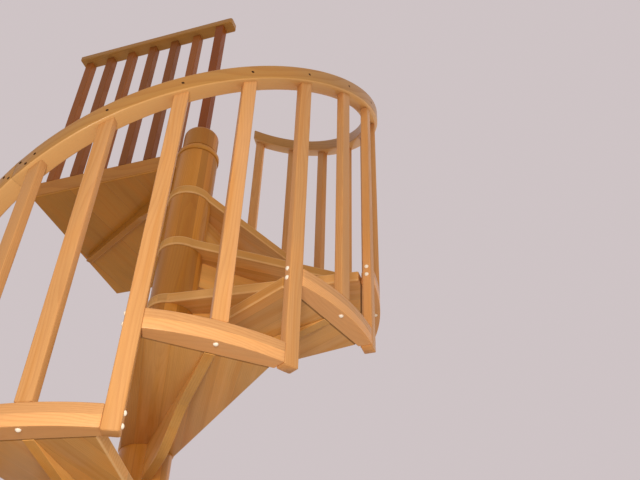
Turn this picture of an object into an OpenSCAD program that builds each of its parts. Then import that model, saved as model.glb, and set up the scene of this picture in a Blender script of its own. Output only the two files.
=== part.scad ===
// Wooden spiral staircase round a turned column, with its top landing and guard rail.
// Millimetres, +Z up, origin at the centre of the column's foot on the floor.

/* [Stair] */
// Radius over the balusters' outer faces
stair_r = 686; // [600:1:800]
// Height from one tread to the next
rise = 239; // [210:1:260]
// Turn from one tread to the next, in degrees
tread_turn = 32; // [28:0.5:35]
// Number of treads below the landing
treads = 12; // [10:1:13]
// Angle of the first long baluster, in degrees from +X
first_angle = 71; // [50:1:90]

/* [Column] */
// Radius of the turned drums
drum_r = 76; // [60:1:95]
// How far a tread's hub stands proud of the drums
hub_proud = 4; // [2:1:10]
// Width of the bevel round a drum's ends
drum_bevel = 1; // [0.5:0.5:6]
// Radius of the cap on the top hub
cap_r = 67; // [50:1:72]
// Height of the cap
cap_h = 121; // [80:1:150]
// Radius of the cap's domed shoulder
cap_shoulder = 23; // [10:1:30]
// Height of the turned groove above the cap's foot
cap_groove_up = 18; // [10:1:40]
// Width and depth of the turned groove
cap_groove = 3; // [2:0.5:5]
// Side of the square newel post
newel_w = 38; // [32:1:48]

/* [Treads] */
// Thickness of a tread board
board_t = 36; // [28:1:45]
// Reach of a board's front outer corner from its centre line
front_reach = 192; // [170:1:200]
// Reach of a board's rear outer corner from its centre line
rear_reach = 147; // [120:1:165]
// Height of a rim block
rim_h = 54; // [45:1:70]
// Thickness of a bracket
bracket_t = 26; // [20:1:40]
// Height of a tread's bracket at its outer tip
bracket_tip = 2; // [1:1:12]
// Height of a tread's bracket where its curve starts
bracket_neck = 29; // [20:1:50]
// Height of a tread's bracket at the column
bracket_h = 102; // [70:1:180]
// Distance from the column's axis at which a bracket's curve starts
bracket_neck_r = 430; // [350:1:500]
// Distance from the column's axis at which a bracket's curve ends
bracket_foot_r = 215; // [120:1:300]

/* [Balusters] */
// Side of a square baluster
bal_w = 41; // [35:1:50]
// How far a long baluster hangs below the rim block it passes
bal_drop = 4; // [2:1:30]

/* [Handrail] */
// Height of the rail's middle above the tread's front edge
rail_rise = 780; // [700:1:900]
// Width of the rail
rail_w = 57; // [50:1:70]
// Height of the rail
rail_h = 62; // [45:1:70]
// How far the rail stands out beyond the balusters
rail_out = 11; // [4:1:14]
// Length of the rail past its end balusters
rail_past = 32; // [25:1:80]
// Bevel on the rail's long edges
rail_bevel = 6; // [2:0.5:10]
// Turn from the first baluster to the joint between the rail's two lengths, in degrees
rail_splice = 187; // [160:1:220]

/* [Landing] */
// Distance from the column's axis to the landing's side edge
landing_w = 748; // [700:1:900]
// Distance from the column's axis to the landing's far edge
landing_d = 706; // [690:1:900]
// Thickness of the landing board
landing_t = 22; // [18:1:36]
// How far the last long baluster stands proud of the landing's arrival edge
landing_set = 3; // [2:1:15]
// Height from the last tread to the landing
last_rise = 217; // [200:1:250]
// Thickness of the kerb under the guard rail
kerb_t = 32; // [26:1:45]
// Height of the kerb above the landing
kerb_up = 60; // [20:1:80]
// Height of the board's lip that is left under the kerb
kerb_lip = 8; // [4:1:12]
// Direction of the bracket under the landing, in degrees from +X
landing_bracket_angle = 150; // [140:1:160]
// Height of the landing's bracket at the column
landing_bracket_h = 85; // [60:1:150]
// Height of the landing's bracket where its curve starts
landing_bracket_neck = 45; // [35:1:55]
// Height of the landing's bracket at its outer end
landing_bracket_tip = 30; // [10:1:35]

/* [Guard] */
// Height of the guard rail's underside above the landing
guard_up = 840; // [780:1:1050]
// Width of the guard rail
guard_w = 60; // [52:1:75]
// Height of the guard rail
guard_h = 30; // [24:1:50]
// Bevel on the guard rail's long edges
guard_bevel = 4; // [2:0.5:8]
// Distance of the guard rail's middle behind the column's axis
guard_set = 4; // [2:1:8]
// Length of the guard rail from the column's axis to the landing's side
guard_len = 720; // [650:1:748]
// Length of the guard rail past the column's axis
guard_past = 60; // [40:1:90]
// Radius of the guard rail's free corners
guard_corner = 14; // [6:1:20]
// Number of balusters in the guard
guard_count = 6; // [4:1:8]
// Side of a guard baluster
guard_bal_w = 35; // [28:1:40]
// Distance from the newel to the first guard baluster, between centres
guard_first = 123; // [100:1:150]

/* [Fit] */
// Clearance between a round face and the piece seated on it
seat_gap = 0.3; // [0.2:0.1:0.6]

/* [Hidden] */

round_fn = 96;
rail_step_angle = 4;
bracket_steps = 12;
hub_r = drum_r + hub_proud;
bal_in_r = stair_r - bal_w;
half_turn = tread_turn / 2;
chord_r = bal_in_r * cos(half_turn) + bal_w / 2 * sin(half_turn);
drum_h = rise - board_t;
rail_mid_r = stair_r + rail_out - rail_w / 2;
bal_mid_r = stair_r - bal_w / 2;
landing_top = treads * rise + last_rise;
landing_under = landing_top - landing_t;
kerb_under = landing_under + kerb_lip;
guard_under = landing_top + guard_up;
rail_past_angle = rail_past / rail_mid_r * 180 / PI;
beyond = 3 * stair_r;
overcut = 1;

wood_tread = [0.66, 0.40, 0.16];
wood_drum = [0.70, 0.42, 0.18];
wood_bar = [0.88, 0.62, 0.36];
wood_rail = [0.80, 0.58, 0.30];
wood_dark = [0.45, 0.22, 0.10];

function bal_angle(k) = first_angle + (k - 1) * tread_turn;
function tread_top(k) = k * rise;
function tread_under(k) = k * rise - board_t;
function rail_level(angle) = rise + rail_rise + (angle - first_angle) / tread_turn * rise;
function polar(r, a) = [r * cos(a), r * sin(a)];
function turned(p, a) = [p[0] * cos(a) - p[1] * sin(a), p[0] * sin(a) + p[1] * cos(a)];

// Touching point on a circle round the origin of the line to a corner; side is 1 for the left of that line
function tangent_point(r, corner, side) =
    polar(r, atan2(corner[1], corner[0]) + side * acos(r / norm(corner)));

// Plan of a tread board, its centre line along +X and its edges tangent to the drums
module board_plan() {
    front = [chord_r, -front_reach];
    rear = [chord_r, rear_reach];
    circle(r = hub_r, $fn = round_fn);
    polygon([
        [0, 0],
        tangent_point(drum_r, front, -1),
        front,
        rear,
        tangent_point(drum_r, rear, 1)
    ]);
}

// Half-plane beyond a baluster's inner face, on the side where the baluster stands
module past_baluster_plan() {
    translate([bal_in_r, -beyond / 2]) square([beyond, beyond]);
}

// Tread board k, trimmed at the inner face of the long baluster at its front corner
module tread(k) {
    color(wood_tread)
    translate([0, 0, tread_under(k)])
    rotate(bal_angle(k) + half_turn)
    linear_extrude(board_t)
    difference() {
        board_plan();
        rotate(-half_turn) past_baluster_plan();
    }
}

// Plan of a rim block between the side faces of two long balusters, its middle along +X
module rim_plan() {
    side_in = [bal_in_r, bal_w / 2];
    side_out = [stair_r * 1.05, bal_w / 2];
    intersection() {
        circle(r = stair_r, $fn = 2 * round_fn);
        polygon([
            turned(side_in, -half_turn),
            turned(side_out, -half_turn),
            turned([side_out[0], -side_out[1]], half_turn),
            turned([side_in[0], -side_in[1]], half_turn)
        ]);
    }
}

module rim_block(k) {
    color(wood_bar)
    translate([0, 0, tread_under(k)])
    rotate(bal_angle(k) + half_turn)
    linear_extrude(rim_h)
    rim_plan();
}

// Height at share t of a bracket's curve, which leaves its taper at slope and ends level at the foot
function swept(t, neck, foot, slope) =
    neck * (2 * pow(t, 3) - 3 * pow(t, 2) + 1)
    + slope * (pow(t, 3) - 2 * pow(t, 2) + t)
    + foot * (3 * pow(t, 2) - 2 * pow(t, 3));

// Bracket on edge along +X, its level top at z = 0 and its lower edge an S from a thin tip to a deep foot,
// cut round where it meets the drum
module bracket(length, tip, neck, foot) {
    run = bracket_neck_r - bracket_foot_r;
    slope = (neck - tip) / (length - bracket_neck_r) * run;
    curve = [for (i = [0:bracket_steps])
        let (t = i / bracket_steps)
        [bracket_neck_r - t * run, -swept(t, neck, foot, slope)]];
    difference() {
        translate([0, bracket_t / 2, 0])
        rotate([90, 0, 0])
        linear_extrude(bracket_t)
        polygon(concat([[0, 0], [length, 0], [length, -tip]], curve, [[0, -foot]]));
        translate([0, 0, -foot - overcut])
        cylinder(h = foot + 2 * overcut, r = drum_r + seat_gap, $fn = round_fn);
    }
}

module tread_brackets() {
    color(wood_drum)
    for (k = [1:treads]) {
        translate([0, 0, tread_under(k)])
        rotate(bal_angle(k) + half_turn)
        bracket(chord_r, bracket_tip, bracket_neck, bracket_h);
    }
}

module drum(h) {
    rotate_extrude($fn = round_fn)
    polygon([
        [0, 0],
        [drum_r - drum_bevel, 0],
        [drum_r, drum_bevel],
        [drum_r, h - drum_bevel],
        [drum_r - drum_bevel, h],
        [0, h]
    ]);
}

module column_drums() {
    color(wood_drum)
    for (k = [0:treads]) {
        translate([0, 0, tread_top(k)]) drum(k == treads ? last_rise - landing_t : drum_h);
    }
}

module column_cap() {
    color(wood_drum)
    translate([0, 0, landing_top])
    rotate_extrude($fn = round_fn)
    difference() {
        intersection() {
            union() {
                square([cap_r, cap_h - cap_shoulder]);
                square([cap_r - cap_shoulder, cap_h]);
                translate([cap_r - cap_shoulder, cap_h - cap_shoulder]) circle(r = cap_shoulder, $fn = 48);
            }
            square([cap_r, cap_h]);
        }
        translate([cap_r - cap_groove, cap_groove_up - cap_groove / 2]) square([2 * cap_groove, cap_groove]);
    }
}

module newel_post() {
    color(wood_dark)
    translate([-newel_w / 2, -newel_w / 2, landing_top + cap_h])
    cube([newel_w, newel_w, guard_up - cap_h]);
}

// Baluster at angle 0 from level low up to the rail's sloping underside, which is at level top over its middle
module sloped_baluster(low, top) {
    slope = atan(rise / (bal_mid_r * tread_turn * PI / 180));
    difference() {
        translate([bal_in_r, -bal_w / 2, low]) cube([bal_w, bal_w, top - low + bal_w]);
        translate([bal_mid_r, 0, top])
        rotate([slope, 0, 0])
        translate([-bal_w, -2 * bal_w, 0])
        cube([2 * bal_w, 4 * bal_w, 4 * bal_w]);
    }
}

module long_balusters() {
    color(wood_bar)
    for (k = [1:treads + 1]) {
        low = k == 1 ? 0 : tread_under(k - 1) - bal_drop;
        top = rail_level(bal_angle(k)) - rail_h / 2 - 2 * seat_gap;
        rotate(bal_angle(k)) sloped_baluster(low, top);
    }
}

module short_balusters() {
    color(wood_bar)
    for (k = [1:treads]) {
        angle = bal_angle(k) + half_turn;
        top = rail_level(angle) - rail_h / 2 - 2 * seat_gap;
        rotate(angle) sloped_baluster(tread_under(k) + rim_h, top);
    }
}

// Bevelled section of a rail as offsets from its middle line, outwards and upwards
function rail_section(w, h, b) = let (x = w / 2, z = h / 2) [
    [x, -z + b], [x, z - b], [x - b, z], [-x + b, z],
    [-x, z - b], [-x, -z + b], [-x + b, -z], [x - b, -z]
];

// Length of the handrail between two angles, its section upright and radial, climbing with the treads
module rail_length(start, stop) {
    steps = ceil((stop - start) / rail_step_angle);
    section = rail_section(rail_w, rail_h, rail_bevel);
    sides = len(section);
    points = [for (i = [0:steps], s = section)
        let (a = start + (stop - start) * i / steps)
        [(rail_mid_r + s[0]) * cos(a), (rail_mid_r + s[0]) * sin(a), rail_level(a) + s[1]]];
    walls = [for (i = [0:steps - 1], j = [0:sides - 1])
        let (n = (j + 1) % sides, p = i * sides)
        each [[p + j, p + j + sides, p + n + sides], [p + j, p + n + sides, p + n]]];
    first_end = [for (j = [0:sides - 1]) j];
    last_end = [for (j = [sides - 1:-1:0]) steps * sides + j];
    color(wood_rail)
    polyhedron(points, concat(walls, [first_end, last_end]), convexity = 8);
}

module handrail() {
    rail_length(first_angle + rail_splice, bal_angle(treads + 1) + rail_past_angle);
}

module handrail_lower() {
    rail_length(first_angle - rail_past_angle, first_angle + rail_splice);
}

// Plan of the landing: from the edge where the flight arrives to the side and far edges, with the top hub
module landing_plan() {
    arrival = bal_mid_r * cos(bal_angle(treads + 1)) + bal_w / 2 - landing_set;
    circle(r = hub_r, $fn = round_fn);
    difference() {
        translate([-landing_w, 0]) square([landing_w + arrival, landing_d]);
        rotate(bal_angle(treads + 1)) translate([bal_in_r, -bal_w / 2]) square([bal_w, bal_w]);
    }
}

// The board is rebated along its front edge for the kerb
module landing_board() {
    color(wood_tread)
    translate([0, 0, landing_under])
    difference() {
        linear_extrude(landing_t) landing_plan();
        translate([0, 0, kerb_lip]) linear_extrude(landing_t) kerb_plan(hub_r);
    }
}

// Plan of the kerb, its outer face in the plane y = 0 and its end cut round a circle about the column
module kerb_plan(r) {
    difference() {
        translate([-landing_w, 0]) square([landing_w, kerb_t]);
        circle(r = r, $fn = round_fn);
    }
}

module landing_kerb() {
    color(wood_bar) {
        translate([0, 0, kerb_under]) linear_extrude(landing_top - kerb_under) kerb_plan(hub_r);
        translate([0, 0, landing_top]) linear_extrude(kerb_up) kerb_plan(cap_r + seat_gap);
    }
}

module landing_bracket() {
    length = (landing_w - bracket_t) / abs(cos(landing_bracket_angle));
    color(wood_dark)
    translate([0, 0, landing_under])
    rotate(landing_bracket_angle)
    bracket(length, landing_bracket_tip, landing_bracket_neck, landing_bracket_h);
}

// Plan of the guard rail, the corners of its free end rounded
module guard_rail_plan() {
    side = guard_w / 2;
    translate([-guard_len, -side]) square([guard_len + guard_past - guard_corner, guard_w]);
    translate([-guard_len, guard_corner - side]) square([guard_len + guard_past, guard_w - 2 * guard_corner]);
    for (y = [guard_corner - side, side - guard_corner]) {
        translate([guard_past - guard_corner, y]) circle(r = guard_corner, $fn = 48);
    }
}

module guard_rail() {
    color(wood_rail)
    translate([0, guard_set, guard_under])
    intersection() {
        linear_extrude(guard_h) guard_rail_plan();
        translate([-guard_len, 0, guard_h / 2])
        rotate([90, 0, 90])
        linear_extrude(guard_len + guard_past)
        polygon(rail_section(guard_w, guard_h, guard_bevel));
    }
}

module guard_balusters() {
    last = guard_len - guard_bal_w;
    pitch = (last - guard_first) / (guard_count - 1);
    low = landing_top + kerb_up;
    color(wood_dark)
    for (i = [0:guard_count - 1]) {
        translate([-guard_first - i * pitch - guard_bal_w / 2, (kerb_t - guard_bal_w) / 2, low])
        cube([guard_bal_w, guard_bal_w, guard_under - low]);
    }
}

column_drums();
column_cap();
newel_post();
for (k = [1:treads]) {
    tread(k);
    rim_block(k);
}
tread_brackets();
long_balusters();
short_balusters();
handrail();
handrail_lower();
landing_board();
landing_kerb();
landing_bracket();
guard_rail();
guard_balusters();
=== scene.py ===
"""Looks of the wooden spiral staircase: woods, eased edges, wound handrail, balusters, plugs, screw holes and stage."""
import math

import bpy
import numpy as np
from mathutils import Matrix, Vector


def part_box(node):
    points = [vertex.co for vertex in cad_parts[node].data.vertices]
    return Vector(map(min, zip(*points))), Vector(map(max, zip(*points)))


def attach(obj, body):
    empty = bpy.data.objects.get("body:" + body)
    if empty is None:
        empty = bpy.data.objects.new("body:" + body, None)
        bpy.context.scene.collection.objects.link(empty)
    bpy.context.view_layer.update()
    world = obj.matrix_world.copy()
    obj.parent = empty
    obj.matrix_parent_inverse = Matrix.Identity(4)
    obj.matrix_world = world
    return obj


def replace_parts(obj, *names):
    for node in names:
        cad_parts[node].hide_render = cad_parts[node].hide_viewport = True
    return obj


bl_info = {
    "name": "Spiral Staircase",
    "version": (1, 0, 0),
    "blender": (4, 5, 0),
    "location": "3D View > Sidebar > Staircase",
    "description": "Dresses a spiral staircase in varnished wood and adds its handrail, balusters, plugs and screws",
    "category": "Object",
}

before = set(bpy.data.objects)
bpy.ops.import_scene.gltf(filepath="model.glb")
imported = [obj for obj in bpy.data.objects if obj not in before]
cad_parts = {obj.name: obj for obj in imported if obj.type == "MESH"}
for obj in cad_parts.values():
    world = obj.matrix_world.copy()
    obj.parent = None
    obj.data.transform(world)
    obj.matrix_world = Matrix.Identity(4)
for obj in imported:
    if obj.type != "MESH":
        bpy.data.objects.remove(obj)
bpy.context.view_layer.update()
COUNT = sum(name.startswith("rim_block_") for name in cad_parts)
TREADS = [f"tread_{k + 1}" for k in range(COUNT)]
RIM_BLOCKS = [f"rim_block_{k + 1}" for k in range(COUNT)]
TREAD_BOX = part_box("tread_1")
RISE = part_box("tread_2")[1].z - TREAD_BOX[1].z
BOARD = TREAD_BOX[1].z - TREAD_BOX[0].z
RIM_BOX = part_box("rim_block_1")
LAND_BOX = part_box("landing_board")
KERB_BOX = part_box("landing_kerb")
GUARD_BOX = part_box("guard_rail")

SHARP = math.radians(35)  # edges that turn by more than this are arrises
STEP_SLACK = 0.02  # share of a rise by which a drum's or a bracket's ends may miss their level

# The photograph's eye, as fitted: where it stands, where it looks, its roll in radians and its focal length in mm.
EYE = (1.1290, -1.8373, 0.9780)
LOOK = (-0.24768, 0.73383, 0.63255)
ROLL = 0.0317
FOCAL_LENGTH = 42.857

# Each lamp's name, place, target, size, power and tint. Only the key shows in the varnish.
LAMPS = (
    ("key", (1.10, -2.15, 1.30), (0, 0, 2.5), 0.6, 34, (1.0, 0.98, 0.95)),
    ("high", (2.8, -2.1, 5.2), (0, 0, 2.4), 1.3, 26, (1.0, 0.98, 0.95)),
    ("fill", (-3.6, -1.4, 1.6), (0, 0, 2.2), 2.6, 9, (0.98, 0.99, 1.0)),
    ("back", (1.6, 3.6, 3.2), (0, 0, 2.0), 2.6, 80, (1.0, 1.0, 1.0)),
)


def metres(name, text, value, low=0.0, high=5.0):
    """A length property."""
    return bpy.props.FloatProperty(name=name, description=text, default=value, min=low, max=high, unit="LENGTH")


def degrees(name, text, value):
    """An angle property, given in degrees."""
    return bpy.props.FloatProperty(name=name, description=text, default=math.radians(value), subtype="ANGLE")


def colour(name, text, value):
    """A colour property in linear light."""
    return bpy.props.FloatVectorProperty(
        name=name, description=text, default=value, size=3, min=0, max=1, subtype="COLOR"
    )


class StairSizes(bpy.types.PropertyGroup):
    """Sizes of the stair that the dressing follows."""

    radius: metres("Radius", "Radius over the balusters' outer faces", 0.686)
    turn: degrees("Turn", "Turn from one tread to the next", 32)
    first: degrees("First Baluster", "Direction of the first long baluster", 71)
    baluster: metres("Baluster", "Width of a baluster along the rim", 0.041)
    depth: metres("Baluster Depth", "Depth of a baluster's shaft towards the column", 0.026)
    foot: metres("Foot Depth", "Depth of a long baluster between two rim blocks", 0.034)
    drop: metres("Drop", "How far a long baluster stands out below the tread board", 0.004)
    seat: metres("Seat", "Clearance between a baluster's top and the rail", 0.0006)
    arris: metres("Arris", "Radius of the eased edges", 0.0022, 0.0005, 0.005)
    grain_lean: degrees("Grain Lean", "Angle between a tread's staves and its middle line", -10.4)
    stave: metres("Stave", "Width of the glued staves of a tread", 0.058, 0.02, 0.12)
    drum_stave: metres("Drum Stave", "Width of the boards that a drum is glued from", 0.034, 0.01, 0.1)
    lamina: metres("Lamina", "Height of the lower layer of a rim block", 0.030)


class RailSizes(bpy.types.PropertyGroup):
    """Sizes of the handrail and of its fasteners."""

    width: metres("Width", "Width of the rail", 0.057)
    height: metres("Height", "Height of the rail", 0.062)
    out: metres("Overhang", "How far the rail stands out beyond the balusters", 0.011)
    level: metres("Level", "Height of the rail's middle over the first tread", 0.780)
    past: metres("Past", "Length of the rail past its end balusters", 0.032)
    corner: metres("Corner", "Radius of the rail's long edges", 0.0055, 0.002, 0.02)
    lamina: metres("Lamina", "Width of the layers that the rail is bent from", 0.0095, 0.004, 0.03)
    splice: degrees("Splice", "Turn from the first baluster to the splice", 187)
    hole: metres("Hole", "Width of a screw hole", 0.009, 0.004, 0.015)
    plug: metres("Plug", "Width of a button plug", 0.013, 0.006, 0.02)
    plug_height: metres("Plug Height", "How far a button plug stands out", 0.005)


class WoodColours(bpy.types.PropertyGroup):
    """Varnished woods, each given by its pale early wood; the late wood is worked out from it."""

    baluster: colour("Balusters", "Pale varnished wood of the balusters", (0.60, 0.292, 0.105))
    rim: colour("Rim Blocks", "Wood of the rim blocks", (0.68, 0.335, 0.128))
    rail: colour("Handrail", "Wood of the handrail", (0.53, 0.255, 0.068))
    tread: colour("Treads", "Wood of the treads", (0.57, 0.285, 0.082))
    landing: colour("Landing", "Wood of the landing board", (0.43, 0.180, 0.026))
    bracket: colour("Brackets", "Wood of the brackets under the treads", (0.66, 0.335, 0.092))
    # For the landing's bracket this darker colour is painted shade.
    drum: colour("Column", "Wood of the turned drums and of the landing's bracket", (0.45, 0.180, 0.026))
    # The Guard colour is darker than the balusters' wood by painted shade.
    shade: colour("Guard", "Darker wood of the guard's balusters", (0.25, 0.078, 0.016))
    kerb: colour("Kerb", "Wood of the landing's kerb", (0.50, 0.20, 0.034))
    newel: colour("Newel", "Red-brown wood of the newel post", (0.25, 0.060, 0.006))
    plug: colour("Plugs", "Pale wood of the button plugs", (0.90, 0.80, 0.66))
    # The screw holes are flat discs; this dark colour is painted shade in place of a hole.
    hole: colour("Screw Holes", "Dark inside of the screw holes", (0.055, 0.022, 0.008))
    floor: colour("Floor", "Pale floor", (0.80, 0.78, 0.76))
    wall: colour("Backdrop", "Pale backdrop behind the stair", (0.62, 0.55, 0.56))


def kit():
    """Sizes and colours, as the panel shows them."""
    scene = bpy.context.scene
    return scene.stair_sizes, scene.stair_rail, scene.stair_colours


# Materials ---------------------------------------------------------------------------------------


class Value:
    """A shader socket that can stand in a sum: each operator adds one Math node."""

    def __init__(self, shader, socket):
        self.shader, self.socket = shader, socket

    def math(self, kind, *others):
        """A Math node of this value and the others."""
        return self.shader.node("ShaderNodeMath", {"operation": kind}, self, *others)

    def __add__(self, other):
        return self.math("ADD", other)

    __radd__ = __add__

    def __sub__(self, other):
        return self.math("SUBTRACT", other)

    def __rsub__(self, other):
        return self.shader.node("ShaderNodeMath", {"operation": "SUBTRACT"}, other, self)

    def __mul__(self, other):
        return self.math("MULTIPLY", other)

    __rmul__ = __mul__

    def __truediv__(self, other):
        return self.math("DIVIDE", other)

    def __pow__(self, other):
        return self.math("POWER", other)

    def __lt__(self, other):
        return self.math("LESS_THAN", other)

    def __gt__(self, other):
        return self.math("GREATER_THAN", other)

    def __abs__(self):
        return self.math("ABSOLUTE")

    def __floor__(self):
        return self.math("FLOOR")

    def fraction(self):
        return self.math("FRACT")

    def sin(self):
        return self.math("SINE")

    def cos(self):
        return self.math("COSINE")

    def smooth(self, low, high):
        """0 below low, 1 above high, eased in between."""
        return self.shader.node(
            "ShaderNodeMapRange", {"interpolation_type": "SMOOTHSTEP"}, self, low, high, 0.0, 1.0
        )


class Shader:
    """A new material, or a new world, whose nodes are under construction."""

    def __init__(self, name, family="materials"):
        self.data = getattr(bpy.data, family).new(name)
        self.data.use_nodes = True
        self.tree = self.data.node_tree
        self.tree.nodes.clear()

    def feed(self, socket, value):
        """Links a value to a socket, or keeps a colour or a number in it."""
        if isinstance(value, Value):
            self.tree.links.new(value.socket, socket)
        elif hasattr(value, "__len__"):
            socket.default_value = (*value, 1.0)
        else:
            socket.default_value = value

    def node(self, kind, settings=None, *values, out=0, **named):
        """Adds a node with its settings and feeds its sockets, the first ones in order and others by name."""
        made = self.tree.nodes.new(kind)
        for key, value in (settings or {}).items():
            setattr(made, key, value)
        for index, value in enumerate(values):
            self.feed(made.inputs[index], value)
        for key, value in named.items():
            self.feed(made.inputs[key.replace("_", " ")], value)
        return Value(self, made.outputs[out]) if made.outputs else None

    def split(self, vector):
        """The three numbers of a vector."""
        made = self.node("ShaderNodeSeparateXYZ", {}, vector).socket.node
        return [Value(self, socket) for socket in made.outputs]

    def place(self):
        """The three Object coordinates, in metres."""
        return self.split(self.node("ShaderNodeTexCoord", out="Object"))

    def stored(self, name):
        """The three numbers of a piece's own attribute."""
        return self.split(self.node("ShaderNodeAttribute", {"attribute_name": name}, out="Vector"))

    def upward(self):
        """How far the surface looks up or down, from 0 on a wall to 1 on a floor or ceiling."""
        return abs(self.split(self.node("ShaderNodeNewGeometry", out="True Normal"))[2])

    def noise(self, x, y, z, detail=2.0, rough=0.5):
        """Soft noise in three dimensions, about one blot to each unit."""
        return self.node(
            "ShaderNodeTexNoise", {"noise_dimensions": "3D"}, Vector=self.node("ShaderNodeCombineXYZ", {}, x, y, z),
            Scale=1.0, Detail=detail, Roughness=rough,
        )

    def chance(self, key):
        """A number from 0 to 1 that stays the same for the same key."""
        return self.node("ShaderNodeTexWhiteNoise", {"noise_dimensions": "1D"}, W=key)

    def mix(self, share, first, second, blend="MIX"):
        """The second colour laid over the first one by a share."""
        made = self.tree.nodes.new("ShaderNodeMix")
        made.data_type, made.blend_type = "RGBA", blend
        for index, value in ((0, share), (6, first), (7, second)):
            self.feed(made.inputs[index], value)
        return Value(self, made.outputs[2])

    def dim(self, colour, shade):
        """A colour times a number."""
        grey = self.node("ShaderNodeCombineColor", {}, shade, shade, shade)
        return self.mix(1.0, colour, grey, "MULTIPLY")

    def finish(self, base, rough, height, coat, relief=0.0004):
        """Closes the material with a Principled surface under a coat of varnish."""
        bump = self.node("ShaderNodeBump", {}, Strength=0.55, Distance=relief, Height=height)
        surface = self.node(
            "ShaderNodeBsdfPrincipled", {}, Base_Color=base, Roughness=rough, Normal=bump,
            Coat_Weight=coat, Coat_Roughness=0.18, Coat_IOR=1.35, IOR=1.4, Specular_IOR_Level=0.2,
        )
        self.node("ShaderNodeOutputMaterial", {}, Surface=surface)
        return self.data


def tinted(colour, *shares):
    """A colour with its red, green and blue scaled, up to 1."""
    return [min(1.0, part * share) for part, share in zip(colour, shares)]


def late(early, depth=0.55):
    """The darker, redder late wood that goes with an early wood."""
    return tinted(early, 1 - 0.55 * depth, 1 - 0.85 * depth, 1 - 0.95 * depth)


def turned(x, y, angle):
    """Coordinates, or vectors, turned so that the first of them runs in the direction of an angle."""
    c, n = (angle.cos(), angle.sin()) if isinstance(angle, Value) else (math.cos(angle), math.sin(angle))
    return x * c + y * n, y * c - x * n


def to_step(sizes, x, y, step):
    """Coordinates turned so that a step's middle line runs along the first of them."""
    return turned(x, y, sizes.first + (step - 0.5) * sizes.turn)


def chord(sizes):
    """Distance from the column's axis to the straight inner side of a rim block, where the tread board ends."""
    half = sizes.turn / 2
    return (sizes.radius - sizes.baluster) * math.cos(half) + sizes.baluster / 2 * math.sin(half)


def grain(s, along, across, deep, seed, ring, bend, spread):
    """Growth rings where the surface cuts them, fine fibre, and slow clouds.

    The distance from a heart line beside the board, bent by slow noise, is divided by the ring width;
    its fraction rises slowly through early wood and drops after late wood. Fibre is noise drawn out
    thirty-fold along the grain. A spread under 1 flattens the rings across the board."""
    drift = s.noise(along * 1.7 + seed * 31.0, across * 9.0 * spread, deep * 9.0 + seed * 7.0, detail=1.5)
    side = across * spread + (seed - 0.5) * 0.09
    under = deep + 0.035 + seed * 0.05
    heart = (side * side + under * under) ** 0.5
    rings = (heart / ring + drift * (9.0 * bend)).fraction()
    line = rings.smooth(0.35, 0.93) * (1 - rings.smooth(0.94, 1.0))
    fibre = s.noise(along * 14.0, across * 420.0, deep * 420.0 + seed * 50.0, detail=3.0, rough=0.6)
    cloud = s.noise(along * 4.0 + seed * 11.0, across * 17.0, deep * 17.0)
    return line, fibre, cloud


def wood(s, early, along, across, deep, seed, tone, line_share, tone_depth, joint=None, ring=0.0042, bend=1.0,
         spread=1.0, coat=0.3, rough=0.36, clouds=0.24, streaks=0.0, painted_light=None, extra=1.0):
    """Varnished wood: late-wood lines over early wood, warm clouds, dark and pale streaks along the grain,
    fibre, a board's own tone, dark joints, and painted light that makes arrises and undersides paler; extra dims
    or lifts the whole, and where it follows a face's direction it is painted light and shade."""
    line, fibre, cloud = grain(s, along, across, deep, seed, ring, bend, spread)
    base = s.mix(line * line_share, early, late(early))
    base = s.mix(cloud.smooth(0.45, 0.75) * (clouds * 1.6), base, tinted(early, 0.98, 0.82, 0.58))
    if streaks:
        dark = s.noise(along * 1.5 + seed * 17.0, across * 34.0, deep * 12.0 + seed * 5.0, detail=1.5)
        base = s.mix(dark.smooth(0.52, 0.66) * streaks, base, tinted(early, 0.88, 0.70, 0.40))
        pale = s.noise(along * 1.5 + seed * 29.0, across * 30.0, deep * 12.0 + seed * 9.0, detail=1.0)
        base = s.mix(pale.smooth(0.55, 0.68) * (streaks * 0.8), base, tinted(early, 1.12, 1.18, 1.60))
    shade = (0.88 + fibre * 0.24) * ((1 - clouds * 0.5) + cloud * clouds)
    shade = shade * ((1 - tone_depth * 0.5) + tone * tone_depth) * extra
    base = s.dim(base, shade)
    height = fibre * 0.5 + line * 0.5
    if joint is not None:
        base = s.mix(joint * 0.6, base, tinted(early, 0.16, 0.10, 0.08))
        height = height - joint * 1.5
    # This mask lays a paler colour over the wood: painted highlights on arrises and painted light on undersides.
    if painted_light is not None:
        base = s.mix(painted_light, base, tinted(early, 1.25, 1.45, 2.10))
    return s.finish(base, rough + line * 0.08 + fibre * 0.08 - 0.04, height, coat)


def staves(s, across, width, seed, uneven=0.3):
    """Number of the stave that a place lies in, its tone, and a thin line where two staves meet.

    Slow waves across make some staves wider than others; tones go dark and pale in turn, each by chance."""
    count = across / width + seed * 3.7
    count = count + (count * 1.9 + seed * 5.0).sin() * uneven * 0.5
    index = math.floor(count)
    part = count.fraction()
    near = part.math("MINIMUM", 1 - part) * width
    tone = s.chance(index * 1.37 + seed * 91.0) * 0.55 + (index * 0.5).fraction() * 0.9
    return index, tone, 1 - near.smooth(0.0002, 0.0007)


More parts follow.
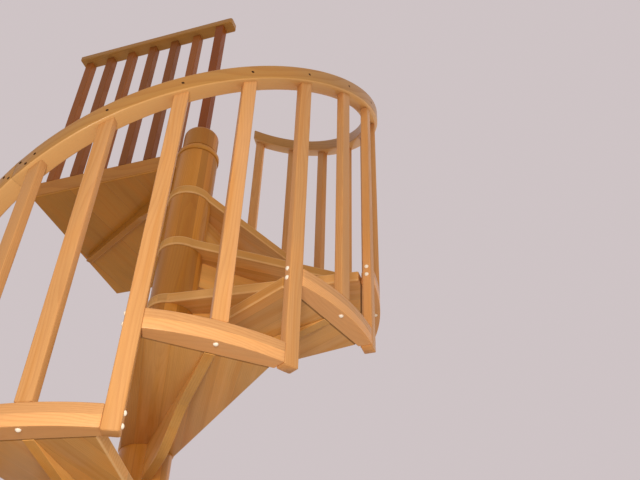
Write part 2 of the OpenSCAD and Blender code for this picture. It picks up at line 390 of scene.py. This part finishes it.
def tread_wood(sizes, colours):
    """Treads of glued staves that follow the front edge. The boards' edges are made paler than the undersides by a
    painted highlight, and a dark line shows where an underside meets the rim block."""
    s = Shader("tread_wood")
    x, y, z = s.place()
    step = math.floor(z / RISE + 0.5)
    u, v = to_step(sizes, x, y, step)
    along, across = turned(u, v, sizes.grain_lean)
    seed = s.chance(step * 0.713 + 0.2)
    index, tone, joint = staves(s, across, sizes.stave, seed)
    own = s.chance(index * 0.61 + seed * 5.0)
    flat = s.upward().smooth(0.3, 0.8)
    level = z - step * RISE
    # Painted highlight: a patchy pale band along the board's lower and upper edges, on faces that do not look straight
    # up or down.
    painted_edge_highlight = s.noise(x * 30.0, y * 30.0, z * 30.0).smooth(0.3, 0.6) * 0.25 + 0.55
    edge = (1 - (level + BOARD).smooth(0.003, 0.009)) + level.smooth(-0.006, -0.002)
    seam = (u - chord(sizes)).smooth(-0.0048, -0.0034) * (level < 0.005 - BOARD)
    painted_light = edge * painted_edge_highlight * (1 - s.upward().smooth(0.8, 0.99)) * (1 - seam)
    return wood(s, colours.tread, along, across, level, own, tone, 0.22, 0.16, joint * flat * 0.35 + seam, bend=1.3,
                coat=flat * 0.35 + 0.05, rough=0.5 - flat * 0.18, clouds=0.34, streaks=0.5, painted_light=painted_light)


def rim_wood(sizes, colours):
    """Rim blocks in two layers, the lower one paler, with the grain along the rim. The underside is painted a
    little dimmer as shade, and a dark line shows where it meets the tread board."""
    s = Shader("rim_wood")
    x, y, z = s.place()
    step = math.floor(z / RISE + 0.5)
    u, v = to_step(sizes, x, y, step)
    wave = s.noise(v * 6.0 + step * 3.1, u * 6.0, 0.0, detail=1.0)
    height = z - step * RISE + BOARD
    upper = (height + wave * 0.004).smooth(sizes.lamina, sizes.lamina + 0.0015)
    seed = s.chance(step * 0.377 + math.floor(upper + 0.5) * 0.5)
    bottom = height < 0.01
    # Painted shade: this mask dims the underside and thins its grain lines.
    underside_painted_shading = s.upward().smooth(0.5, 0.9) * bottom
    seam = (1 - (u - chord(sizes)).smooth(0.0012, 0.0024)) * bottom
    return wood(s, colours.rim, v, u - 0.66, height, seed, 1 - upper, 0.30 - underside_painted_shading * 0.18, 0.22, seam, ring=0.007,
                bend=1.8, coat=0.2, clouds=0.2, extra=1 - underside_painted_shading * 0.12)


def drum_wood(sizes, colours):
    """Drums turned from boards glued side by side; each drum's boards lie their own way round."""
    s = Shader("drum_wood")
    x, y, z = s.place()
    step = math.floor(z / RISE + STEP_SLACK)
    seed = s.chance(step * 0.591 + 0.35)
    u, v = turned(x, y, seed * 6.28)
    index, tone, joint = staves(s, v, sizes.drum_stave, seed, 0.5)
    own = s.chance(index * 0.83 + seed * 9.0)
    return wood(s, colours.drum, z, v, u, own, tone, 0.28, 0.55, joint * 0.4, coat=0.35, rough=0.3, clouds=0.25,
                streaks=0.4)


def bracket_wood(sizes, colours):
    """Brackets on edge, with the grain along their length; painted highlights make the arrises pale, and painted
    light and shade make the sides brighter and the undersides dimmer.
    """
    s = Shader("bracket_wood")
    x, y, z = s.place()
    step = math.floor(z / RISE + STEP_SLACK) + 1
    u, v = to_step(sizes, x, y, step)
    seed = s.chance(step * 0.467 + 0.15)
    flat = s.upward().smooth(0.3, 0.8)
    # Painted highlight on the rounded arrises between the sides and the undersides.
    painted_edge_highlight = (1 - abs(flat - 0.5) * 2) * (1 - s.upward().smooth(0.85, 0.95)) * 0.8
    # extra paints light and shade: the sides are lifted and the undersides dimmed.
    return wood(s, colours.bracket, u, z - step * RISE, v, seed, seed, 0.26, 0.24, spread=0.12, bend=0.6,
                coat=0.4, rough=0.32, clouds=0.4, streaks=0.5, painted_light=painted_edge_highlight, extra=1.10 - flat * 0.28)


def baluster_wood(sizes, colours):
    """Balusters with upright grain; each one has its own tone and rings."""
    s = Shader("baluster_wood")
    x, y, z = s.place()
    quarter = sizes.turn / 4
    index = math.floor((y.math("ARCTAN2", x) - sizes.first) / quarter + 0.5)
    out, side = turned(x, y, index * quarter + sizes.first)
    seed = s.chance(index * 0.173 + 0.41)
    return wood(s, colours.baluster, z, side, out - sizes.radius, seed, seed, 0.24, 0.16, bend=1.1, coat=0.12,
                clouds=0.2, streaks=0.35)


def straight_wood(name, early, axis, seed, tone_depth=0.2, coat=0.3, step=0.0, low=0.0, heading=0.0):
    """Wood with straight grain along one axis. low is the height that the rings start from, heading turns the
    axes about the column, and step gives each piece in a row its own seed."""
    s = Shader(name)
    x, y, z = s.place()
    place = [*turned(x, y, heading), z - low]
    along = place.pop(axis)
    key = s.chance(math.floor(place[0] / step) * 0.37 + seed if step else seed)
    return wood(s, early, along, place[1], place[0], key, key, 0.30, tone_depth, spread=0.3, coat=coat)


def rail_wood(sizes, rail, colours):
    """The handrail's wood, bent with it: the grain follows the rail's stored length, width and height."""
    s = Shader("rail_wood")
    along, across, deep = s.stored("grain")
    splice = rail.splice * (sizes.radius + rail.out - rail.width / 2)
    part = along > splice
    seed = s.chance(part * 0.7 + 0.3)
    joint = 1 - abs(along - splice).smooth(0.0003, 0.0009)
    tone = s.chance(math.floor(across / rail.lamina) * 0.61 + part * 3.0)
    # Painted light from below: this mask lifts and pales the rail's whole underside.
    underside_painted_shading = 1 - (deep + rail.height * 0.5).smooth(0.001, 0.004)
    return wood(s, colours.rail, along, deep, across, seed, tone, 0.30, 0.10, joint, ring=0.006, bend=1.1,
                spread=0.5, clouds=0.22, painted_light=underside_painted_shading * 0.8, extra=0.86 + underside_painted_shading * 0.24)


def landing_wood(colours):
    """The landing board's wide staves, in the direction that the photograph shows."""
    heading, width = math.radians(82), 0.17
    s = Shader("landing_wood")
    x, y, z = s.place()
    along, across = turned(x, y, heading)
    index, tone, joint = staves(s, across, width, s.chance(0.6))
    own = s.chance(index * 0.83 + 0.4)
    flat = s.upward().smooth(0.3, 0.8)
    # extra paints light and shade: faces that look sideways come out brighter than the flat faces.
    return wood(s, colours.landing, along, across, z - LAND_BOX[1].z, own, tone, 0.18, 0.10, joint * flat, bend=1.3,
                coat=0.35, rough=0.32, clouds=0.34, streaks=0.3, extra=1.25 - flat * 0.2)


def plain_wood(name, early, rough, coat):
    """Small turned pieces: end grain as fine speckle."""
    s = Shader(name)
    x, y, z = s.place()
    speck = s.noise(x * 900.0, y * 900.0, z * 900.0)
    base = s.mix(speck * 0.35, early, late(early, 0.4))
    return s.finish(base, rough + speck * 0.1, speck, coat, 0.0002)


# Shapes --------------------------------------------------------------------------------------------


def spot(angle, radius=1.0, height=0.0):
    """Points about the column's axis: radius times cosine and sine of the angle, at a height."""
    return np.stack(np.broadcast_arrays(radius * np.cos(angle), radius * np.sin(angle), height), -1)


def shells(name, points, caps=True, flip=False):
    """One mesh from shells, each a stack of rings: a ring is closed round and joined to the next one.

    points holds shell, ring, place in the ring and coordinate. caps closes both ends of each stack, and
    flip turns the faces over, for rings that run the other way round."""
    count, rings, sides = points.shape[:3]
    here = np.arange((rings - 1) * sides).reshape(-1, sides)
    beside = np.roll(here, -1, 1)
    corners = [here, beside, beside + sides, here + sides]
    if flip:
        corners[1], corners[3] = corners[3], corners[1]
    start = (np.arange(count) * rings * sides)[:, None]
    faces = (np.stack(corners, -1).reshape(-1, 4) + start[:, :, None]).reshape(-1, 4).tolist()
    if caps:
        ring = np.arange(sides)
        ends = np.concatenate([start + ring[::-1], start + (rings - 1) * sides + ring])
        faces += (ends[:, ::-1] if flip else ends).tolist()
    mesh = bpy.data.meshes.new(name)
    mesh.from_pydata(points.reshape(-1, 3).tolist(), [], faces)
    return mesh


def rounded_section(width, height, corner, steps=5):
    """Outline of a bar as (outward, upward) offsets: a quarter circle at each corner, joined by straight sides."""
    a = np.linspace(0, np.pi / 2, steps) + np.arange(4)[:, None] * np.pi / 2
    centres = np.array([[1, 1], [-1, 1], [-1, -1], [1, -1]]) * (np.array([width, height]) / 2 - corner)
    return (centres[:, None] + corner * np.stack([np.cos(a), np.sin(a)], -1)).reshape(-1, 2)


def wound_bar(name, section, radius, level, angles, rise_per_radian, first, eases):
    """A bar wound round the column: its section stands upright and radial, its middle climbs evenly with the
    angle, and each end is drawn in by a quarter circle of its own size.

    Each point keeps its length along the bar and its offsets across and up, for the grain."""
    past = np.array([1.0, 0.92, 0.7, 0.38, 0.0])  # how far the end rings are drawn in, as shares of eases
    count = len(past)
    back = (1 - np.sqrt(1 - (1 - past) ** 2)) / radius
    shrink = np.concatenate([eases[0] * past, np.zeros(len(angles) - 2 * count), eases[1] * past[::-1]])
    a = angles.copy()
    a[:count], a[-count:] = angles[0] + eases[0] * back, angles[-1] - eases[1] * back[::-1]
    offset = section * (1 - shrink[:, None, None] / np.abs(section).max(0))
    a = a[:, None]
    points = spot(a, radius + offset[..., 0], level + (a - first) * rise_per_radian + offset[..., 1])
    mesh = shells(name, points[None], flip=True)
    length = np.broadcast_to((a - first) * radius, offset.shape[:2])
    kept = mesh.attributes.new("grain", "FLOAT_VECTOR", "POINT")
    kept.data.foreach_set("vector", np.dstack([length, offset]).astype(np.float32).ravel())
    return mesh


def bars(name, sizes, angles, levels, deeper=0.0):
    """Upright bars on the rim, each a stack of rounded oblongs whose outer side stays on the rim's radius.

    levels gives the height of every bar's rings; the last ring is the top, which climbs along the rim as the
    rail does, and the first is drawn in, which eases the foot. deeper adds to a ring's depth on its inner side."""
    corner = sizes.arris * 1.6
    section = rounded_section(sizes.depth, sizes.baluster, corner)
    rings = np.tile(section, (levels.shape[1], 1, 1))
    rings[0] *= 1 - corner * 2 / sizes.baluster
    inward = np.broadcast_to(deeper, levels.shape)[..., None] * (section[:, 0] < 0)
    radius = sizes.radius - sizes.depth / 2 + rings[..., 0] - inward
    height = np.repeat(levels[..., None], len(section), 2)
    height[:, -1] += rings[-1, :, 1] * RISE / (sizes.turn * sizes.radius)
    a = angles[:, None, None]
    return shells(name, spot(a, radius, height) + spot(a + np.pi / 2, rings[..., 1]))


def buttons(name, centres, axes, width, height, rings=6, sides=20):
    """Turned buttons: a quarter-ellipse dome, from just under the surface nearly to its pole, spun round each axis."""
    open_pole, sunk = 0.96, 0.0008
    t = np.linspace(0, open_pole * np.pi / 2, rings)
    r, h = np.cos(t) * width / 2, np.sin(t) * height
    r, h = np.append(r[0], r)[:, None, None], np.append(-sunk, h)[:, None, None]
    a = np.linspace(0, 2 * np.pi, sides, endpoint=False)[:, None]
    helper = np.where(np.abs(axes[:, 2:]) < 0.9, [[0.0, 0.0, 1.0]], [[1.0, 0.0, 0.0]])
    e1 = np.cross(helper, axes)
    e1 /= np.linalg.norm(e1, axis=1, keepdims=True)
    e2 = np.cross(axes, e1)
    flat = e1[:, None] * np.cos(a) + e2[:, None] * np.sin(a)
    return shells(name, centres[:, None, None] + flat[:, None] * r + axes[:, None, None] * h)


def place_piece(mesh, material):
    """Puts a mesh into the scene at the origin, on the stair's body."""
    piece = bpy.data.objects.new(mesh.name, mesh)
    bpy.context.scene.collection.objects.link(piece)
    mesh.materials.append(material)
    mesh.polygons.foreach_set("use_smooth", np.full(len(mesh.polygons), True))
    mesh.set_sharp_from_angle(angle=SHARP)
    mesh.update()
    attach(piece, "root")
    return piece


def dress(node, material):
    """Gives a CAD node its wood."""
    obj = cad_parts[node]
    obj.data.materials.clear()
    obj.data.materials.append(material)


def ease_edges(node, arris, softer=1.0):
    """Rounds a node's arrises with modifiers: loose corners are welded, flat faces made whole, sharp edges rounded.

    softer widens the rounding, which then has three facets in place of two."""
    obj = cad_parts[node]
    weld = obj.modifiers.new("weld", "WELD")
    weld.merge_threshold = 0.00002
    flat = obj.modifiers.new("flat", "DECIMATE")
    flat.decimate_type, flat.angle_limit = "DISSOLVE", math.radians(0.6)
    edge = obj.modifiers.new("arris", "BEVEL")
    edge.width, edge.segments = arris * softer, 3 if softer > 1 else 2
    edge.limit_method, edge.angle_limit = "ANGLE", SHARP
    edge.use_clamp_overlap = True
    edge.harden_normals = True


def facing(place, aim, roll=0.0):
    """A matrix that looks along aim from place, upright, then turned clockwise by roll."""
    forward = np.array(aim, float) / np.linalg.norm(aim)
    right = np.cross(forward, (0.0, 0.0, 1.0))
    right /= np.linalg.norm(right)
    right, top = turned(right, np.cross(right, forward), roll)
    matrix = np.eye(4)
    matrix[:3] = np.stack([right, top, -forward, place], 1)
    return Matrix(matrix.tolist())


# Operators -----------------------------------------------------------------------------------------


class STAIR_OT_column(bpy.types.Operator):
    """Dress the turned drums, the cap and the newel post"""

    bl_idname = "stair.column"
    bl_label = "Column"

    def execute(self, context):
        sizes, _, colours = kit()
        drums = drum_wood(sizes, colours)
        dress("column_drums", drums)
        dress("column_cap", drums)
        dress("newel_post", straight_wood("newel_wood", colours.newel, 2, 0.31, coat=0.1))
        ease_edges("newel_post", sizes.arris)
        return {"FINISHED"}


class STAIR_OT_treads(bpy.types.Operator):
    """Dress the tread boards"""

    bl_idname = "stair.treads"
    bl_label = "Treads"

    def execute(self, context):
        sizes, _, colours = kit()
        material = tread_wood(sizes, colours)
        for node in TREADS:
            dress(node, material)
            ease_edges(node, sizes.arris, 1.9)
        return {"FINISHED"}


class STAIR_OT_rim_blocks(bpy.types.Operator):
    """Dress the curved rim blocks"""

    bl_idname = "stair.rim_blocks"
    bl_label = "Rim Blocks"

    def execute(self, context):
        sizes, _, colours = kit()
        material = rim_wood(sizes, colours)
        for node in RIM_BLOCKS:
            dress(node, material)
            ease_edges(node, sizes.arris)
        return {"FINISHED"}


class STAIR_OT_brackets(bpy.types.Operator):
    """Dress the brackets under the treads and the landing"""

    bl_idname = "stair.brackets"
    bl_label = "Brackets"

    def execute(self, context):
        sizes, _, colours = kit()
        heading = math.radians(150)
        dress("tread_brackets", bracket_wood(sizes, colours))
        # The landing bracket takes the column's darker wood: painted shade for its shaded side face.
        dress("landing_bracket", straight_wood("landing_bracket_wood", colours.drum, 0, 0.77, heading=heading))
        for node in ("tread_brackets", "landing_bracket"):
            ease_edges(node, sizes.arris, 1.6)
        return {"FINISHED"}


class STAIR_OT_balusters(bpy.types.Operator):
    """Set the long and short balusters, with rounded arrises and tops cut to the rail's slope"""

    bl_idname = "stair.balusters"
    bl_label = "Balusters"

    def execute(self, context):
        sizes, rail, colours = kit()
        material = baluster_wood(sizes, colours)
        ease = sizes.arris
        under = RISE + rail.level - rail.height / 2 - sizes.seat
        rim = RIM_BOX[1].z - RIM_BOX[0].z
        k = np.arange(COUNT + 1)
        foot = np.where(k == 0, 0.0, k * RISE - BOARD - sizes.drop)
        lap = foot + sizes.drop + rim
        deeper = np.outer(k > 0, [1, 1, 1, 0, 0]) * (sizes.foot - sizes.depth)
        levels = np.stack([foot, foot + ease, lap, lap, under + k * RISE], 1)
        mesh = bars("long_bars", sizes, sizes.first + k * sizes.turn, levels, deeper)
        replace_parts(place_piece(mesh, material), "long_balusters")
        k = k[:-1]
        foot = (k + 1) * RISE - BOARD + rim
        levels = np.stack([foot, foot + ease, under + (k + 0.5) * RISE], 1)
        mesh = bars("short_bars", sizes, sizes.first + (k + 0.5) * sizes.turn, levels)
        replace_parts(place_piece(mesh, material), "short_balusters")
        return {"FINISHED"}


class STAIR_OT_handrail(bpy.types.Operator):
    """Wind the handrail round the stair"""

    bl_idname = "stair.handrail"
    bl_label = "Handrail"

    def execute(self, context):
        sizes, rail, colours = kit()
        radius = sizes.radius + rail.out - rail.width / 2
        past = rail.past / radius
        splice = sizes.first + rail.splice
        section = rounded_section(rail.width, rail.height, rail.corner)
        material = rail_wood(sizes, rail, colours)
        rounded, flush = 0.006, 0.0006  # how far the free ends and the splice's two faces are eased
        for node, low, high, steps, eases in (
            ("handrail_lower", sizes.first - past, splice, 210, (rounded, flush)),
            ("handrail", splice, sizes.first + COUNT * sizes.turn + past, 220, (flush, rounded)),
        ):
            mesh = wound_bar("wound_" + node, section, radius, RISE + rail.level, np.linspace(low, high, steps),
                             RISE / sizes.turn, sizes.first, eases)
            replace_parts(place_piece(mesh, material), node)
        return {"FINISHED"}


class STAIR_OT_plugs(bpy.types.Operator):
    """Set the button plugs under the rim blocks and in the balusters' sides"""

    bl_idname = "stair.plugs"
    bl_label = "Button Plugs"

    def execute(self, context):
        sizes, rail, colours = kit()
        under_block = 0.978  # where the lower plugs sit, as a share of the radius
        up_the_side = (0.012, 0.041)  # heights of the side plugs over a board's underside
        k = np.arange(COUNT)
        start = sizes.first + k * sizes.turn
        under = (k + 1) * RISE - BOARD
        centres = [spot(start + sizes.turn / 2, sizes.radius * under_block, under)]
        axes = [np.tile([0.0, 0.0, -1.0], (COUNT, 1))]
        for angle, side in ((start, -1), (start + sizes.turn, 1)):
            across = side * spot(angle + np.pi / 2)
            for height in up_the_side:
                shaft = spot(angle, sizes.radius - sizes.depth / 2, under + height)
                centres.append(shaft + across * sizes.baluster / 2)
                axes.append(across)
        mesh = buttons("button_plugs", np.concatenate(centres), np.concatenate(axes), rail.plug, rail.plug_height)
        place_piece(mesh, plain_wood("plug_wood", colours.plug, 0.35, 0.4))
        return {"FINISHED"}


class STAIR_OT_screws(bpy.types.Operator):
    """Set dark discs where the handrail's screw holes are: painted shade of the holes"""

    bl_idname = "stair.screws"
    bl_label = "Screw Holes"

    def execute(self, context):
        sizes, rail, colours = kit()
        k = np.arange(2 * COUNT + 1)
        radius = sizes.radius + rail.out
        at_splice = np.array([[-0.038, 0.014], [-0.014, -0.014], [0.014, 0.014], [0.038, -0.014]])
        beside, above = at_splice.T
        angle = np.concatenate([k * sizes.turn / 2, rail.splice + beside / radius])
        level = RISE + rail.level + angle * RISE / sizes.turn + np.concatenate([0 * k, above])
        angle = angle + sizes.first
        proud = 0.0005
        # Flat discs just proud of the rail, coloured dark as painted shade of a hole.
        mesh = buttons("screw_holes", spot(angle, radius, level), spot(angle), rail.hole, proud, 4)
        place_piece(mesh, plain_wood("screw_hole_painted_shade", colours.hole, 0.8, 0.0))
        return {"FINISHED"}


class STAIR_OT_landing(bpy.types.Operator):
    """Dress the landing board and its kerb"""

    bl_idname = "stair.landing"
    bl_label = "Landing"

    def execute(self, context):
        sizes, _, colours = kit()
        dress("landing_board", landing_wood(colours))
        dress("landing_kerb", straight_wood("kerb_wood", colours.kerb, 0, 0.53, low=KERB_BOX[0].z))
        ease_edges("landing_board", sizes.arris, 1.6)
        ease_edges("landing_kerb", sizes.arris)
        return {"FINISHED"}


class STAIR_OT_guard(bpy.types.Operator):
    """Dress the landing's guard rail and its balusters"""

    bl_idname = "stair.guard"
    bl_label = "Guard"

    def execute(self, context):
        sizes, _, colours = kit()
        # The guard rail is the handrail's wood darkened as painted shade; the guard's balusters take the dark Guard
        # colour, which holds painted shade.
        rail_in_painted_shade = tinted(colours.rail, 0.8, 0.8, 0.8)
        dress("guard_rail", straight_wood("guard_rail_wood", rail_in_painted_shade, 0, 0.21, low=GUARD_BOX[0].z))
        dress("guard_balusters", straight_wood("guard_wood", colours.shade, 2, 0.67, 0.4, 0.1, step=0.09))
        for node in ("guard_rail", "guard_balusters"):
            ease_edges(node, sizes.arris)
        return {"FINISHED"}


class STAIR_OT_stage(bpy.types.Operator):
    """Set the floor, the backdrop, the lamps and the camera"""

    bl_idname = "stair.stage"
    bl_label = "Stage"

    def execute(self, context):
        colours = kit()[2]
        scene = context.scene
        scene.view_settings.view_transform = "Standard"
        self.floor(scene, colours)
        self.sky(scene, colours)
        for lamp in LAMPS:
            self.lamp(scene, *lamp)
        self.camera(scene)
        return {"FINISHED"}

    def floor(self, scene, colours):
        """A round pale floor a little under the column's foot: rings of growing radius, all at one height."""
        radius = np.linspace(0.0, 9.0, 7)[:, None]
        angle = np.linspace(0, 2 * np.pi, 64, endpoint=False)[None, :]
        mesh = shells("floor", spot(angle, radius, -0.001)[None], caps=False, flip=True)
        s = Shader("pale_floor")
        surface = s.node("ShaderNodeBsdfPrincipled", {}, Base_Color=colours.floor, Roughness=0.7)
        s.node("ShaderNodeOutputMaterial", {}, Surface=surface)
        mesh.materials.append(s.data)
        floor = bpy.data.objects.new("floor", mesh)
        scene.collection.objects.link(floor)

    def sky(self, scene, colours):
        """Even light all round, which a camera, a gloss or a glass ray sees as the pale backdrop."""
        s = Shader("studio", "worlds")
        scene.world = s.data
        kinds = ("Is Camera Ray", "Is Glossy Ray", "Is Transmission Ray")
        camera, gloss, glass = (s.node("ShaderNodeLightPath", out=kind) for kind in kinds)
        seen = camera.math("MAXIMUM", gloss).math("MAXIMUM", glass)
        light = s.node("ShaderNodeBackground", {}, Color=(1.0, 0.93, 0.80), Strength=0.50)
        wall = s.node("ShaderNodeBackground", {}, Color=colours.wall, Strength=1.0)
        s.node("ShaderNodeOutputWorld", {}, s.node("ShaderNodeMixShader", {}, seen, light, wall))

    def lamp(self, scene, name, place, target, size, power, tint):
        """A soft square lamp that faces a point."""
        data = bpy.data.lights.new(name, "AREA")
        data.shape, data.size, data.energy, data.color = "SQUARE", size, power, tint
        lamp = bpy.data.objects.new(name, data)
        scene.collection.objects.link(lamp)
        lamp.matrix_world = facing(place, np.subtract(target, place))
        lamp.visible_camera = False
        lamp.visible_glossy = name == "key"

    def camera(self, scene):
        """The eye of the photograph: low in front of the stair, looking steeply up."""
        data = bpy.data.cameras.new("camera")
        data.lens, data.sensor_width = FOCAL_LENGTH, 36.0
        data.clip_start, data.clip_end = 0.05, 60.0
        camera = bpy.data.objects.new("camera", data)
        scene.collection.objects.link(camera)
        camera.matrix_world = facing(EYE, LOOK, ROLL)
        scene.camera = camera


OPERATORS = (
    STAIR_OT_column, STAIR_OT_treads, STAIR_OT_rim_blocks, STAIR_OT_brackets, STAIR_OT_balusters, STAIR_OT_handrail,
    STAIR_OT_plugs, STAIR_OT_screws, STAIR_OT_landing, STAIR_OT_guard, STAIR_OT_stage,
)


class STAIR_PT_panel(bpy.types.Panel):
    """Sizes, colours and pieces of the staircase"""

    bl_idname = "STAIR_PT_panel"
    bl_label = "Spiral Staircase"
    bl_space_type = "VIEW_3D"
    bl_region_type = "UI"
    bl_category = "Staircase"

    def draw(self, context):
        for group in kit():
            box = self.layout.box()
            for name in group.bl_rna.properties.keys():
                if name not in ("rna_type", "name"):
                    box.prop(group, name)
        for operator in OPERATORS:
            self.layout.operator(operator.bl_idname)


CLASSES = (StairSizes, RailSizes, WoodColours, *OPERATORS, STAIR_PT_panel)


def register():
    for item in CLASSES:
        bpy.utils.register_class(item)
    bpy.types.Scene.stair_sizes = bpy.props.PointerProperty(type=StairSizes)
    bpy.types.Scene.stair_rail = bpy.props.PointerProperty(type=RailSizes)
    bpy.types.Scene.stair_colours = bpy.props.PointerProperty(type=WoodColours)


def unregister():
    del bpy.types.Scene.stair_sizes, bpy.types.Scene.stair_rail, bpy.types.Scene.stair_colours
    for item in reversed(CLASSES):
        bpy.utils.unregister_class(item)


def main():
    register()
    for operator in OPERATORS:
        group, name = operator.bl_idname.split(".")
        getattr(getattr(bpy.ops, group), name)()


if __name__ == "__main__":
    main()
